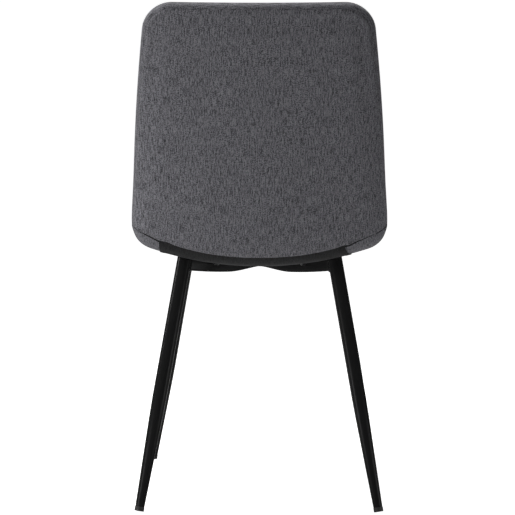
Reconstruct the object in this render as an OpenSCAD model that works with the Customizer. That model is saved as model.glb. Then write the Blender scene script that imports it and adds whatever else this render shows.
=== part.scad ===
// Upholstered dining chair: a one-piece padded shell on a crossed steel frame with four splayed legs.
// Millimetres. +Z is up, the sitter faces -Y, and the origin is on the floor under the middle of the chair.

/* [Shell] */
// Lean of the back from the vertical, in degrees
lean = 10.5; // [8:0.5:13]
// Length of the straight part of the back, from its top edge to the bend
back_len = 402; // [380:1:420]
// Outer radius of the bend between back and seat
bend_r = 75; // [65:1:85]
// Length of the level part of the seat, from the bend to the front roll
seat_len = 330; // [310:5:350]
// Outer radius of the front edge where it rolls down
roll_r = 150; // [120:5:200]
// Angle that the front edge rolls through
roll_deg = 16; // [8:1:20]
// Height of the underside above the floor, at its lowest
underside_z = 418.5; // [400:0.5:440]
// Distance from the middle of the chair back to the centre of the bend
bend_y = 115.7; // [105:0.1:125]
// Half of the shell's width at the bend
half_bend = 226.5; // [215:0.5:235]
// Half of the shell's width at the top
half_top = 192; // [180:0.5:205]
// Half of the shell's width at the front edge
half_front = 206; // [190:1:215]
// Corner radius at the top of the back
top_corner = 46; // [40:1:60]
// Corner radius at the front of the seat
front_corner = 58; // [50:1:70]

/* [Rolled edge] */
// Width of the rolled outer edge at the bend
roll_wide_bend = 38; // [30:1:42]
// Height of the rolled outer edge at the bend
roll_tall_bend = 27; // [20:1:29]
// Width of the rolled outer edge at the top of the back
roll_wide_top = 17; // [12:1:24]
// Height of the rolled outer edge at the top of the back
roll_tall_top = 12; // [8:1:15]
// Distance from the padded outline in to the board's own edge
board_in = 30; // [28:1:34]
// How far each side swells at the bend, where the padding is squeezed
side_swell = 3.8; // [0:0.2:6]

/* [Layers] */
// Thickness of the bent plywood board
board_t = 10; // [9:0.5:12]
// Thickness of the cover fabric
cloth_t = 1.2; // [0.8:0.1:1.5]
// Thickness of the wadding under the outer back cover
wadding_t = 4; // [3:0.5:6]
// Thickness of the black dust cover under the seat
lining_t = 0.8; // [0.6:0.1:1]
// Half of the dust cover's width
lining_half = 161; // [150:1:165]
// Width of the cloth turned under the board's edge
turn_under = 58; // [55:1:62]

/* [Legs] */
// Outer radius of the leg tube
leg_r = 12.5; // [11:0.5:14]
// Outer radius of the leg at its foot
foot_r = 8; // [7:0.5:9]
// Wall of the leg tube
leg_wall = 1.5; // [1.2:0.1:2]
// Length of the tapered lower stretch of the leg
taper_len = 185; // [150:5:220]
// Foot's distance from the middle, sideways
foot_x = 207.8; // [195:0.1:215]
// Foot's distance from the middle, front to back
foot_y = 215; // [200:1:225]
// Leg axis's distance from the middle, sideways, at the reference height
hip_x = 129.5; // [125:0.5:140]
// Leg axis's distance from the middle, front to back, at the reference height
hip_y = 112; // [105:1:120]

/* [Cross frame] */
// Width of a cross bar
bar_w = 14; // [12:1:18]
// Depth of a cross bar along its arms
bar_depth = 22.3; // [20:0.1:26]
// Depth of a cross bar where the two cross
bar_mid = 15.6; // [12:0.1:16]
// Wall of a cross bar, which is solid only where the two cross
bar_wall = 1.6; // [1.2:0.1:2]
// Distance of a fixing bolt from the middle, along the arm
bolt_along = 116.5; // [105:0.5:125]
// Distance of a fixing bolt from the arm's middle plane
bolt_aside = 18; // [17:0.5:20]

/* [Hidden] */

$fn = 64;
cloth_colour = [0.34, 0.335, 0.35];
lining_colour = [0.13, 0.13, 0.14];
steel_colour = [0.07, 0.07, 0.075];
foam_colour = [0.86, 0.82, 0.66];
wood_colour = [0.78, 0.62, 0.42];
zinc_colour = [0.72, 0.73, 0.74];
bolt_colour = [0.09, 0.09, 0.09];

// ---- Centre line of the board's outer face. s runs from the top of the back down, round and forward. ----
s_bend = back_len;
s_seat = s_bend + bend_r * (90 - lean) * PI / 180;
s_roll = s_seat + seat_len;
s_end = s_roll + roll_r * roll_deg * PI / 180;
s_crease = (s_bend + s_seat) / 2;
bend_z = underside_z + bend_r;

// Angle of the outward normal below the horizontal
function tilt(s) =
    s < s_bend ? lean
    : s < s_seat ? lean + (s - s_bend) / bend_r * 180 / PI
    : s < s_roll ? 90
    : 90 - (s - s_roll) / roll_r * 180 / PI;

// Unit normal towards the sitter, as [y, z]
function inward(s) = [-cos(tilt(s)), sin(tilt(s))];

// Point on the centre line, as [y, z]
function centre(s) =
    s < s_bend ? [bend_y, bend_z] - bend_r * inward(s) + (s_bend - s) * [sin(lean), cos(lean)]
    : s < s_seat ? [bend_y, bend_z] - bend_r * inward(s)
    : s < s_roll ? [bend_y - (s - s_seat), underside_z]
    : [bend_y - seat_len, underside_z - roll_r] + roll_r * inward(s);

// Sideways curve: the face rises towards the sitter by dish * x * x
dish_bend = 0.00084;
function dish(s) = lookup(s, [[0, 0.0003], [s_bend * 0.55, 0.00055], [s_bend, dish_bend],
                              [s_seat + 230, dish_bend], [s_end, 0.0004]]);

// A point x sideways, s along and off inward from the board's outer face
function place(x, s, off) =
    let (k = dish(s), g = sqrt(1 + pow(2 * k * x, 2)), q = centre(s) + (k * x * x + off / g) * inward(s))
    [x - 2 * k * x * off / g, q[0], q[1]];

// Height of the padding's inner face above the board's outer face
function pad_t(s) = lookup(s, [[0, 30], [s_bend * 0.6, 37], [s_bend, 43], [s_seat, 47], [s_roll, 47], [s_end, 41]]);

// The outer side rolls up towards its edge on a quarter ellipse
function roll_wide(s) = lookup(s, [[0, roll_wide_top], [s_bend, roll_wide_bend], [s_end - 60, roll_wide_bend],
                                   [s_end, 24]]);
function roll_tall(s) = lookup(s, [[0, roll_tall_top], [s_bend, roll_tall_bend], [s_end - 60, roll_tall_bend],
                                   [s_end, 20]]);
function edge_rise(m, s) =
    let (t = max(0, min(1, 1 - m / roll_wide(s)))) roll_tall(s) * (1 - sqrt(1 - t * t));

// ---- Outline of the shell in (x, s), drawn in by m from its edge ----
swell_reach = 60;
function half_plain(s) =
    s < s_bend ? half_bend - (half_bend - half_top) * pow(1 - s / s_bend, 1.5)
    : s < s_seat ? half_bend
    : half_bend - (half_bend - half_front) * pow((s - s_seat) / (s_end - s_seat), 2);

// The padding's swell fades away from the bend as a bell curve
function half_full(s) = half_plain(s) + side_swell * exp(-pow((s - s_bend) / swell_reach, 2));
function corner_r(r, m) = max(r - m, 8);
function corner_cut(d, r) = d >= r ? 0 : r - sqrt(r * r - pow(r - max(d, 0), 2));
function half_at(s, m) =
    half_full(s) - m - corner_cut(s - m, corner_r(top_corner, m))
    - corner_cut(s_end - m - s, corner_r(front_corner, m));

// Rows of s: close together round the corners, even in between
function spread(a, b, n) = [for (i = [1:n]) a + (b - a) * i / n];
function top_rows(m) = [for (a = [0:18:90]) m + corner_r(top_corner, m) * (1 - cos(a))];
function front_rows(m) = [for (a = [90:-18:0]) s_end - m - corner_r(front_corner, m) * (1 - cos(a))];
function back_rows(m) = concat(top_rows(m), spread(m + corner_r(top_corner, m), s_bend, 7));
function rows_down(m, s_to) = concat(back_rows(m), spread(s_bend, s_to, 4));
function rows_forward(m, s_from) =
    concat([s_from], spread(s_from, s_seat, 4),
           spread(s_seat, s_end - m - corner_r(front_corner, m), 5), [for (i = [1:5]) front_rows(m)[i]]);
function rows_all(m) = concat(rows_down(m, s_crease), [for (i = [1:len(rows_forward(m, s_crease)) - 1])
                                                       rows_forward(m, s_crease)[i]]);

// ---- Solids between two grids of points ----
// Columns crowd towards both sides, where the edge rolls
cols = 14;
function crowd(u) = u * (1.5 - 0.5 * u * u);
function grid(rows, m, off, shift = function(x, s) s, reach = 1000) =
    [for (s = rows) [for (j = [0:cols])
        let (half = min(reach, half_at(s, m)), x = half * crowd(2 * j / cols - 1))
        place(x, shift(x, s), is_function(off) ? off(x / half, s) : off)]];

// Triangles of a sheet of quads whose first corner is number "base"; turned over where flip is true
function sheet_faces(nr, nc, base, flip) =
    [for (i = [0:nr - 2], j = [0:nc - 2], half = [0, 1])
        let (a = base + i * nc + j, b = a + 1, c = a + nc + 1, d = a + nc,
             t = half == 0 ? [a, b, c] : [a, c, d])
        flip ? [t[2], t[1], t[0]] : t];

// Triangles of the rim that joins two sheets of equal size along a chain of corner numbers
function rim_faces(chain, step) =
    [for (i = [0:len(chain) - 1], half = [0, 1])
        let (a = chain[i], b = chain[(i + 1) % len(chain)])
        half == 0 ? [a, a + step, b] : [b, a + step, b + step]];

// Closed solid between an outer and an inner grid
module between(outer, inner) {
    nr = len(outer);
    nc = len(outer[0]);
    step = nr * nc;
    chain = concat([for (j = [0:nc - 2]) j], [for (i = [0:nr - 2]) i * nc + nc - 1],
                   [for (j = [nc - 1:-1:1]) (nr - 1) * nc + j], [for (i = [nr - 1:-1:1]) i * nc]);
    polyhedron(points = concat([for (row = outer) each row], [for (row = inner) each row]),
               faces = concat(sheet_faces(nr, nc, 0, false), sheet_faces(nr, nc, step, true),
                              rim_faces(chain, step)));
}

// Closed ring that carries a section of [m, off] points round the shell's outline
function outline(m) =
    let (r = rows_all(m), n = len(r), across = [for (j = [1:7]) 1 - j / 4])
    concat([for (s = r) [half_at(s, m), s]],
           [for (u = across) [u * half_at(r[n - 1], m), r[n - 1]]],
           [for (i = [n - 1:-1:0]) [-half_at(r[i], m), r[i]]],
           [for (u = across) [-u * half_at(r[0], m), r[0]]]);

module ring(section) {
    loops = [for (p = section) [for (q = outline(p[0])) place(q[0], q[1], is_function(p[1]) ? p[1](q[1]) : p[1])]];
    nk = len(loops[0]);
    nn = len(loops);
    polyhedron(points = [for (k = [0:nk - 1], n = [0:nn - 1]) loops[n][k]],
               faces = [for (k = [0:nk - 1], n = [0:nn - 1], half = [0, 1])
                   let (a = k * nn + n, b = k * nn + (n + 1) % nn,
                        c = ((k + 1) % nk) * nn + (n + 1) % nn, d = ((k + 1) % nk) * nn + n)
                   half == 0 ? [a, b, c] : [a, c, d]]);
}

// ---- Lower edge of the outer back cover: a smile that rises towards the sides ----
s_hem = s_bend + 43;
hem_rise = 31.2;
strip_up = 6;
strip_depth = 10;
function hem_shift(x) = hem_rise * pow(abs(x) / 195, 3);
function to_hem(fold) = function(x, s) s - (hem_shift(x) + fold) * max(0, s - 300) / (s_hem - 300);
from_hem = function(x, s) s - hem_shift(x) * max(0, 1 - (s - s_hem) / 90);

module shell_board() {
    color(wood_colour)
        difference() {
            between(grid(rows_all(board_in), board_in, 0), grid(rows_all(board_in), board_in, board_t));
            each_bolt() {
                translate([0, 0, -1]) cylinder(r = 4.05, h = board_t + 2);
                translate([0, 0, board_t - nut_flange_t]) cylinder(r = nut_flange_r + 0.1, h = 3);
            }
        }
}

// Distances in from the outline: the foam's lower and upper edge, and the seam of the front cover
foam_in = 12;
foam_top_in = 9;
seam_in = 10.5;
function above_roll(m, gap) = function(s) edge_rise(m, s) + gap;
foam_face = function(u, s) pad_t(s) - cloth_t;
cloth_face = function(u, s) pad_t(s);

module foam(rows_of) {
    color(foam_colour)
        between(grid(rows_of(foam_in), foam_in, board_t), grid(rows_of(foam_top_in), foam_top_in, foam_face));
}

// Strip of foam glued round the board's edge, under the cushions; it gives the shell its soft roll
module edge_foam() {
    inner_m = board_in - 0.4;
    top = board_t - 0.2;
    color(foam_colour)
        ring([[inner_m, above_roll(inner_m, 0.4)], [20, above_roll(20, 0.8)], [foam_in, above_roll(foam_in, 1.2)],
              [foam_in, top], [inner_m, top]]);
}

module seat_foam() foam(function(m) rows_forward(m, s_crease));

module back_foam() foam(function(m) rows_down(m, s_crease));

module inner_cloth(rows) {
    color(cloth_colour)
        between(grid(rows, seam_in, foam_face), grid(rows, seam_in, cloth_face));
}

module seat_cover() inner_cloth(rows_forward(seam_in, s_crease));

module inner_back_cover() inner_cloth(rows_down(seam_in, s_crease));

// Layers on the outside of the back lie over the cloth that is turned under the board's edge, and follow its
// roll. The wadding thins out towards the sides and the top, and is full at the hem.
wadding_in = 14;
cover_in = 7;
function wad_here(u, s) = 0.5 + (wadding_t - 0.5) * (1 - pow(u, 6)) * (1 - exp(-s / 14));
function edge_distance(u, s, m) = min(s, m + (1 - abs(u)) * half_at(s, m));
function under_wad(m) = function(u, s) edge_rise(edge_distance(u, s, m), s) - cloth_t;
function over_wad(m) = function(u, s) under_wad(m)(u, s) - wad_here(u, s);
function over_cover(m) = function(u, s) over_wad(m)(u, s) - cloth_t;

module outer_back_wadding() {
    rows = rows_down(wadding_in, s_hem);
    above_strip = strip_up + strip_depth + 1;
    color([0.93, 0.93, 0.92])
        between(grid(rows, wadding_in, over_wad(wadding_in), to_hem(above_strip)),
                grid(rows, wadding_in, under_wad(wadding_in), to_hem(above_strip)));
}

module outer_back_cover() {
    rows = rows_down(cover_in, s_hem);
    color(cloth_colour)
        between(grid(rows, cover_in, over_cover(cover_in), to_hem(0)),
                grid(rows, cover_in, over_wad(cover_in), to_hem(0)));
}

module hem_strip() {
    strip = [for (up = [strip_depth, strip_depth / 2, 0]) s_hem - strip_up - up];
    strip_half = 185;
    strip_in = 12;
    color([0.7, 0.62, 0.5])
        between(grid(strip, strip_in, over_wad(strip_in), to_hem(0), strip_half),
                grid(strip, strip_in, under_wad(strip_in), to_hem(0), strip_half));
}

module edge_band() {
    t = cloth_t;
    // Distance in from the edge, and how far the cloth's normal has turned towards the side there
    roll = [[turn_under, 0], [38, 0], [26, 0.15], [16, 0.4], [8, 0.65], [3, 0.85], [0, 1]];
    last = len(roll) - 1;
    color(cloth_colour)
        ring(concat([for (p = roll) [p[0], above_roll(p[0], -t)]],
                    [[0.4, function(s) pad_t(s) - 12], [3.6, function(s) pad_t(s) - 3.6],
                     [seam_in, function(s) pad_t(s)], [seam_in, function(s) pad_t(s) - t],
                     [4.8, function(s) pad_t(s) - 4.8], [0.4 + t, function(s) pad_t(s) - 12.4]],
                    [for (i = [last:-1:0]) let (p = roll[i])
                        [p[0] + t * p[1], above_roll(p[0], t * (sqrt(1 - p[1] * p[1]) - 1))]]));
}

module dust_cover() {
    lining_in = 50;
    rows = rows_forward(lining_in, s_hem + 1);
    under = -cloth_t - lining_t;
    color(lining_colour)
        difference() {
            between(grid(rows, lining_in, under, from_hem, lining_half),
                    grid(rows, lining_in, -cloth_t, from_hem, lining_half));
            each_bolt() translate([0, 0, -5]) cylinder(r = 3.5, h = 6);
        }
}

// Wire staples that hold the dust cover: crown only, on its face
module staple(x, s, turn) {
    translate(place(x, s, -cloth_t - lining_t)) rotate([0, -atan(2 * dish(s) * x), turn])
        translate([-5, -0.6, -0.6]) cube([10, 1.2, 0.6]);
}

module dust_cover_staples() {
    color(zinc_colour) {
        for (side = [-1, 1], s = [s_seat + 12:38:s_roll - 90]) staple(side * (lining_half - 9), s, 90);
        for (x = [-120:30:120]) staple(x, s_roll - 32, 0);
    }
}

// ---- Cross frame: two bars that follow the dished underside and cross at the middle ----
ref_z = 440;
leg_tilt = atan(norm([foot_x - hip_x, foot_y - hip_y]) / ref_z);
frame_top = underside_z - cloth_t - lining_t;
joint_z = underside_z - 5.4;
joint_x = foot_x + (hip_x - foot_x) * joint_z / ref_z;
joint_y = foot_y + (hip_y - foot_y) * joint_z / ref_z;
arm_len = norm([joint_x, joint_y]);
arm_turn = atan(joint_y / joint_x);
arm_dish = dish_bend * pow(cos(arm_turn), 2);

// Depth of a bar at distance t from the crossing
function depth_at(t) =
    let (u = min(abs(t) / 78, 1)) bar_mid + (bar_depth - bar_mid) * u * u * (3 - 2 * u);
function bar_top(t) = frame_top + arm_dish * t * t;

// Side view of a bar between two distances from the crossing, drawn in by wall
module bar_outline(from, to, wall) {
    ts = [for (i = [0:24]) from + (to - from) * i / 24];
    polygon(concat([for (t = ts) [t, bar_top(t) - wall]],
                   [for (i = [24:-1:0]) [ts[i], bar_top(ts[i]) - depth_at(ts[i]) + wall]]));
}

// Side view of a whole bar, cut away by half its depth at the crossing
module bar_side(lap) {
    difference() {
        union() {
            bar_outline(-arm_len, 0, 0);
            bar_outline(0, arm_len, 0);
        }
        translate([-bar_w * 0.56, frame_top - bar_mid / 2 + (lap > 0 ? 0 : -bar_mid)])
            square([bar_w * 1.12, bar_mid + 1]);
    }
}

module cross_bar(turn, lap) {
    color(steel_colour)
        difference() {
            rotate([0, 0, turn]) rotate([90, 0, 0]) linear_extrude(height = bar_w, center = true) bar_side(lap);
            for (end = [0, 180]) rotate([0, 0, turn + end]) rotate([90, 0, 0])
                linear_extrude(height = bar_w - 2 * bar_wall, center = true)
                bar_outline(bar_w + 6, arm_len + 1, bar_wall);
            each_corner() leg_outside();
        }
}

module upper_cross_bar() cross_bar(arm_turn, -1);

module lower_cross_bar() cross_bar(-arm_turn, 1);

// Weld metal along both sides of the crossing, on the underside
module cross_bar_weld() {
    z = frame_top - bar_mid;
    color(steel_colour)
        for (turn = [0, 180]) rotate([0, 0, turn]) translate([bar_w * 0.75, 0, z])
            cylinder(r1 = 1.4, r2 = 2.6, h = 4);
}

// ---- Legs ----
// Puts its children at each foot, with +Z along the leg's axis
module on_leg(sx, sy) {
    turn = atan2(-sy * (foot_y - hip_y), -sx * (foot_x - hip_x));
    translate([sx * foot_x, sy * foot_y, 0]) rotate([0, leg_tilt, turn]) rotate([0, 0, -turn]) children();
}

module each_corner() for (sx = [-1, 1], sy = [-1, 1]) on_leg(sx, sy) children();

cap_start = 0.8;
cap_lip = 8;
tube_start = cap_start + cap_lip;
tube_end = 460;
disc_t = 1.5;
leg_top_x = foot_x + (hip_x - foot_x) * (underside_z + 12) / ref_z;
leg_top_z = frame_top + dish_bend * leg_top_x * leg_top_x - 0.5;

// Slab of the given depth below the sloping plane that the legs on one side are cut to
module below_seat(sx, depth, gap = 0) {
    translate([sx * leg_top_x, 0, leg_top_z]) rotate([0, -sx * atan(2 * dish_bend * leg_top_x), 0])
        translate([-400, -400, -depth - gap]) cube([800, 800, depth]);
}

module leg_outside() {
    rotate_extrude() polygon([[0, tube_start], [foot_r, tube_start], [leg_r, taper_len], [leg_r, tube_end],
                              [0, tube_end]]);
}

module leg(sx, sy) {
    w = leg_wall;
    color(steel_colour)
        intersection() {
            on_leg(sx, sy)
                rotate_extrude() polygon([[foot_r - w, tube_start], [foot_r, tube_start], [leg_r, taper_len],
                                          [leg_r, tube_end], [leg_r - w, tube_end], [leg_r - w, taper_len]]);
            below_seat(sx, 500, disc_t);
        }
}

module leg_rear_left() leg(1, 1);

module leg_rear_right() leg(-1, 1);

module leg_front_left() leg(1, -1);

module leg_front_right() leg(-1, -1);

// Steel discs that close the tops of the legs
module leg_top_discs() {
    color(steel_colour)
        for (sx = [-1, 1], sy = [-1, 1])
            intersection() {
                on_leg(sx, sy) cylinder(r = leg_r, h = tube_end);
                below_seat(sx, disc_t);
            }
}

// Fillet of weld metal between each leg and its arm
module leg_welds() {
    color(steel_colour)
        for (sx = [-1, 1], sy = [-1, 1], side = [-1, 1])
            difference() {
                rotate([0, 0, atan2(sy * joint_y, sx * joint_x)])
                    translate([arm_len - leg_r - 0.6, side * (bar_w / 2 + 1), frame_top - 6])
                    cylinder(r = 2.6, h = 9);
                rotate([0, 0, atan2(sy * joint_y, sx * joint_x)])
                    translate([0, -bar_w / 2, 0]) cube([arm_len, bar_w, ref_z]);
                on_leg(sx, sy) leg_outside();
            }
}

// Plastic cap: a lip as wide as the leg's end, and a plug inside the tube; its foot is trimmed level
module foot_cap(sx, sy) {
    color([0.05, 0.05, 0.05])
        intersection() {
            on_leg(sx, sy) {
                translate([0, 0, cap_start]) cylinder(r = foot_r + 0.4, h = cap_lip);
                translate([0, 0, tube_start]) cylinder(r = foot_r - leg_wall - 0.2, h = 12);
            }
            translate([-400, -400, 0]) cube([800, 800, 60]);
        }
}

module foot_cap_rear_left() foot_cap(1, 1);

module foot_cap_rear_right() foot_cap(-1, 1);

module foot_cap_front_left() foot_cap(1, -1);

module foot_cap_front_right() foot_cap(-1, -1);

// ---- Fixings: one bolt beside each arm, square to the dished underside ----
bolt_x = bolt_along * cos(arm_turn) - bolt_aside * sin(arm_turn);
bolt_y = bolt_along * sin(arm_turn) + bolt_aside * cos(arm_turn);
tab_t = 2.5;
tab_r = 11;
washer_t = 1;
tab_top = -cloth_t - lining_t;
head_r = 5.25;
head_t = 3.3;
shank_r = 2.9;
nut_bore_r = 2.95;
nut_flange_r = 9.5;
nut_flange_t = 1.2;

module at_bolt(sx, sy) {
    translate([sx * bolt_x, sy * bolt_y, underside_z + dish_bend * bolt_x * bolt_x])
        rotate([0, -sx * atan(2 * dish_bend * bolt_x), 0]) children();
}

module each_bolt() for (sx = [-1, 1], sy = [-1, 1]) at_bolt(sx, sy) children();

module mounting_tabs() {
    reach = bolt_aside - bar_w / 2;
    color(steel_colour)
        for (sx = [-1, 1], sy = [-1, 1]) at_bolt(sx, sy) rotate([0, 0, sx * sy * arm_turn])
            translate([0, 0, tab_top - tab_t]) linear_extrude(height = tab_t)
            difference() {
                union() {
                    circle(r = tab_r);
                    translate([-tab_r, sy > 0 ? -reach : 0]) square([2 * tab_r, reach]);
                }
                circle(r = 3.3);
            }
}

module frame_bolts() {
    head_top = tab_top - tab_t - washer_t;
    color(bolt_colour)
        each_bolt() difference() {
            union() {
                translate([0, 0, head_top - head_t]) cylinder(r1 = 3.4, r2 = head_r, h = 1.8);
                translate([0, 0, head_top - 1.5]) cylinder(r = head_r, h = 1.5);
                translate([0, 0, head_top]) cylinder(r = shank_r, h = board_t - 1 - head_top);
            }
            translate([0, 0, head_top - head_t - 0.1]) cylinder(r = 2.3, h = 2.1, $fn = 6);
        }
}

module flat_washers() {
    color(bolt_colour)
        each_bolt() translate([0, 0, tab_top - tab_t - washer_t]) difference() {
            cylinder(r = 6, h = washer_t);
            translate([0, 0, -1]) cylinder(r = 3.2, h = washer_t + 2);
        }
}

module tee_nuts() {
    color(zinc_colour)
        each_bolt() difference() {
            union() {
                translate([0, 0, 1.5]) cylinder(r = 4, h = board_t - nut_flange_t - 1.5);
                translate([0, 0, board_t - nut_flange_t]) cylinder(r = nut_flange_r, h = nut_flange_t - 0.05);
            }
            translate([0, 0, 1]) cylinder(r = nut_bore_r, h = board_t);
        }
}

shell_board();
edge_foam();
seat_foam();
back_foam();
seat_cover();
inner_back_cover();
outer_back_wadding();
outer_back_cover();
hem_strip();
edge_band();
dust_cover();
dust_cover_staples();
upper_cross_bar();
lower_cross_bar();
cross_bar_weld();
mounting_tabs();
leg_welds();
leg_rear_left();
leg_rear_right();
leg_front_left();
leg_front_right();
leg_top_discs();
foot_cap_rear_left();
foot_cap_rear_right();
foot_cap_front_left();
foot_cap_front_right();
frame_bolts();
flat_washers();
tee_nuts();
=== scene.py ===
# %% [markdown]
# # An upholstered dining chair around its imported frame
# The chair is a one-piece padded shell on four slim steel legs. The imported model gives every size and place,
# and this lesson gives it cloth, foam, paint and light. Soft parts are replaced by surfaces computed here,
# and hard parts keep their place and get better surfaces. All lengths are in metres.

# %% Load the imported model
import math

import bpy
import numpy as np
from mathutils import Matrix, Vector


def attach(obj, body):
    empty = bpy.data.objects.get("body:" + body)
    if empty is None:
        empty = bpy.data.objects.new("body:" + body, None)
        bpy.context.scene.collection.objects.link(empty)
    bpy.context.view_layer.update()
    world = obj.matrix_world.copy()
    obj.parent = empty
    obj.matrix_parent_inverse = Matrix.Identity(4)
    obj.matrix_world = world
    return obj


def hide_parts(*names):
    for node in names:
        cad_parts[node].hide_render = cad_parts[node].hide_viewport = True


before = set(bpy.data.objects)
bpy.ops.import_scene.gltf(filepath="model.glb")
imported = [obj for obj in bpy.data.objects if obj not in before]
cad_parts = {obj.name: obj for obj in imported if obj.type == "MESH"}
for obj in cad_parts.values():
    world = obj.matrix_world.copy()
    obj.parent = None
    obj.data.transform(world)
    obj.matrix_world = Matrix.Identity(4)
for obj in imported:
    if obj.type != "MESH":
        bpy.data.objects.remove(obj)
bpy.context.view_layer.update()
MM = 0.001

# %% [markdown]
# ## The camera first
# It stands behind the chair, a little above its top, far away with a long lens, so that the legs hardly
# converge. It looks down by about eight degrees and a hair to one side. A short lens from nearby would frame
# the chair as well, but the legs would lean together.

# %% Camera
LENS_MM = 170.6
CAMERA_AT = Vector((-0.0527, 4.3473, 0.9976))
LOOK_DOWN = 0.133
LOOK_ASIDE = 0.0133


def make_camera():
    """Aim = (sin(aside) cos(down), -cos(aside) cos(down), -sin(down)). The camera's -Z is turned to it."""
    data = bpy.data.cameras.new("camera")
    data.lens = LENS_MM
    data.sensor_width = 36
    data.clip_end = 500
    camera = bpy.data.objects.new("camera", data)
    bpy.context.scene.collection.objects.link(camera)
    aim = Vector((math.sin(LOOK_ASIDE) * math.cos(LOOK_DOWN),
                  -math.cos(LOOK_ASIDE) * math.cos(LOOK_DOWN), -math.sin(LOOK_DOWN)))
    camera.location = CAMERA_AT
    camera.rotation_euler = aim.to_track_quat("-Z", "Y").to_euler()
    bpy.context.scene.camera = camera
    return camera


camera = make_camera()
print("camera", [round(v, 2) for v in camera.location])

# %% [markdown]
# ## The shell's shape as a function
# The whole shell is one bent sheet. A point on it is found from three numbers: x sideways, s along the centre
# line from the top of the back down, round the bend and forward, and off, the height above the board's
# outer face towards the sitter. Each piece could be shaped by hand in its own cage, but then panel, band,
# cushions and lining would never lie quite parallel. Drawn with this one function, all of them fit.

# %% Sizes of the shell
LEAN = math.radians(10.5)
BACK_LEN = 402 * MM
BEND_R = 75 * MM
SEAT_LEN = 330 * MM
ROLL_R = 150 * MM
ROLL = math.radians(16)
UNDERSIDE_Z = 418.5 * MM
BEND_Y = 115.7 * MM
HALF_BEND = 226.5 * MM
HALF_TOP = 192 * MM
HALF_FRONT = 206 * MM
TOP_CORNER = 46 * MM
FRONT_CORNER = 58 * MM
LEAST_CORNER = 6 * MM
CLOTH_T = 1.2 * MM
SHEET_T = 0.9 * MM
DISH_TOP, DISH_BACK, DISH_BEND, DISH_FRONT = 0.30, 0.55, 0.84, 0.40

S_BEND = BACK_LEN
S_SEAT = S_BEND + BEND_R * (math.pi / 2 - LEAN)
S_ROLL = S_SEAT + SEAT_LEN
S_END = S_ROLL + ROLL_R * ROLL
S_CREASE = (S_BEND + S_SEAT) / 2
print("length along the shell in mm", round(S_END / MM))


# %% Centre line and sideways curve
def eased(s, knots, values):
    """Straight lines between knots, averaged over 9 places within 30 mm of s, so that no kink shows."""
    shifts = np.linspace(-30, 30, 9) * MM
    return np.mean([np.interp(s + d, knots, values) for d in shifts], axis=0)


def tilt(s):
    """Angle of the outward normal below the horizontal: constant, growing, constant, shrinking."""
    level = math.pi / 2
    return np.interp(s, [S_BEND, S_SEAT, S_ROLL, S_END], [LEAN, level, level, level - ROLL])


def centre(s):
    """Centre line (y, z): a leaning straight, an arc about the bend's centre, a level straight, a roll."""
    a = tilt(s)
    out = np.stack([np.cos(a), -np.sin(a)], -1)
    bend = np.array([BEND_Y, UNDERSIDE_Z + BEND_R])
    roll = np.array([BEND_Y - SEAT_LEN, UNDERSIDE_Z - ROLL_R])
    up = np.array([math.sin(LEAN), math.cos(LEAN)])
    on_bend = bend + BEND_R * out + np.maximum(S_BEND - s, 0)[..., None] * up
    level = np.stack([BEND_Y - (s - S_SEAT), np.full_like(s, UNDERSIDE_Z)], -1)
    on_roll = roll - ROLL_R * out
    past_seat, past_roll = (s > S_SEAT)[..., None], (s > S_ROLL)[..., None]
    return np.where(past_roll, on_roll, np.where(past_seat, level, on_bend))


def dish(s):
    """How fast the shell rises sideways: the height is dish * x * x."""
    knots = [0, S_BEND * 0.55, S_BEND, S_SEAT + 0.23, S_END]
    return eased(s, knots, [DISH_TOP, DISH_BACK, DISH_BEND, DISH_BEND, DISH_FRONT])


def place(x, s, off):
    """Point = centre(s) + (k x x + off / g) n, and x - 2 k x off / g sideways, with g = sqrt(1 + (2kx)^2)."""
    x, s, off = np.broadcast_arrays(np.asarray(x, float), np.asarray(s, float), np.asarray(off, float))
    k = dish(s)
    g = np.sqrt(1 + (2 * k * x) ** 2)
    a = tilt(s)
    n = np.stack([-np.cos(a), np.sin(a)], -1)
    q = centre(s) + (k * x * x + off / g)[..., None] * n
    return np.stack([x - 2 * k * x * off / g, q[..., 0], q[..., 1]], -1)


print("top of the board in mm", np.round(place(0, 0, 0) / MM), "front", np.round(place(0, S_END, 0) / MM))


# %% Outline of the shell and the distance in from it
BULGE = 3.8 * MM
BULGE_REACH = 60 * MM


def bell(x, middle, width):
    """A soft bump of height 1: e^-((x - middle) / width)^2."""
    return np.exp(-((x - middle) / width) ** 2)


def half_full(s):
    """Half width before the corners are cut: narrowing to the top by a 1.5 power, to the front by a square,
    and swelling a little at the bend, where the padding is squeezed."""
    back = HALF_BEND - (HALF_BEND - HALF_TOP) * np.maximum(1 - s / S_BEND, 0) ** 1.5
    seat = HALF_BEND - (HALF_BEND - HALF_FRONT) * np.maximum((s - S_SEAT) / (S_END - S_SEAT), 0) ** 2
    return np.where(s < S_SEAT, back, seat) + BULGE * bell(s, S_BEND, BULGE_REACH)


def half_at(s, m):
    """Half width of the outline drawn in by m, with its round corners cut away."""
    def cut(d, r):
        d = np.clip(d, 0, r)
        return r - np.sqrt(np.maximum(r * r - (r - d) ** 2, 0))
    r_top, r_front = max(TOP_CORNER - m, LEAST_CORNER), max(FRONT_CORNER - m, LEAST_CORNER)
    return half_full(s) - m - cut(s - m, r_top) - cut(S_END - m - s, r_front)


def inset(x, s):
    """Distance in from the outline: to the nearest side, or to the corner's arc near a corner."""
    side = half_full(s) - np.abs(x)
    top, front = s, S_END - s
    end = np.minimum(top, front)
    r = np.where(top < front, TOP_CORNER, FRONT_CORNER)
    corner = r - np.hypot(np.maximum(r - side, 0), np.maximum(r - end, 0))
    return np.where((side < r) & (end < r), corner, np.minimum(side, end))


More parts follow.
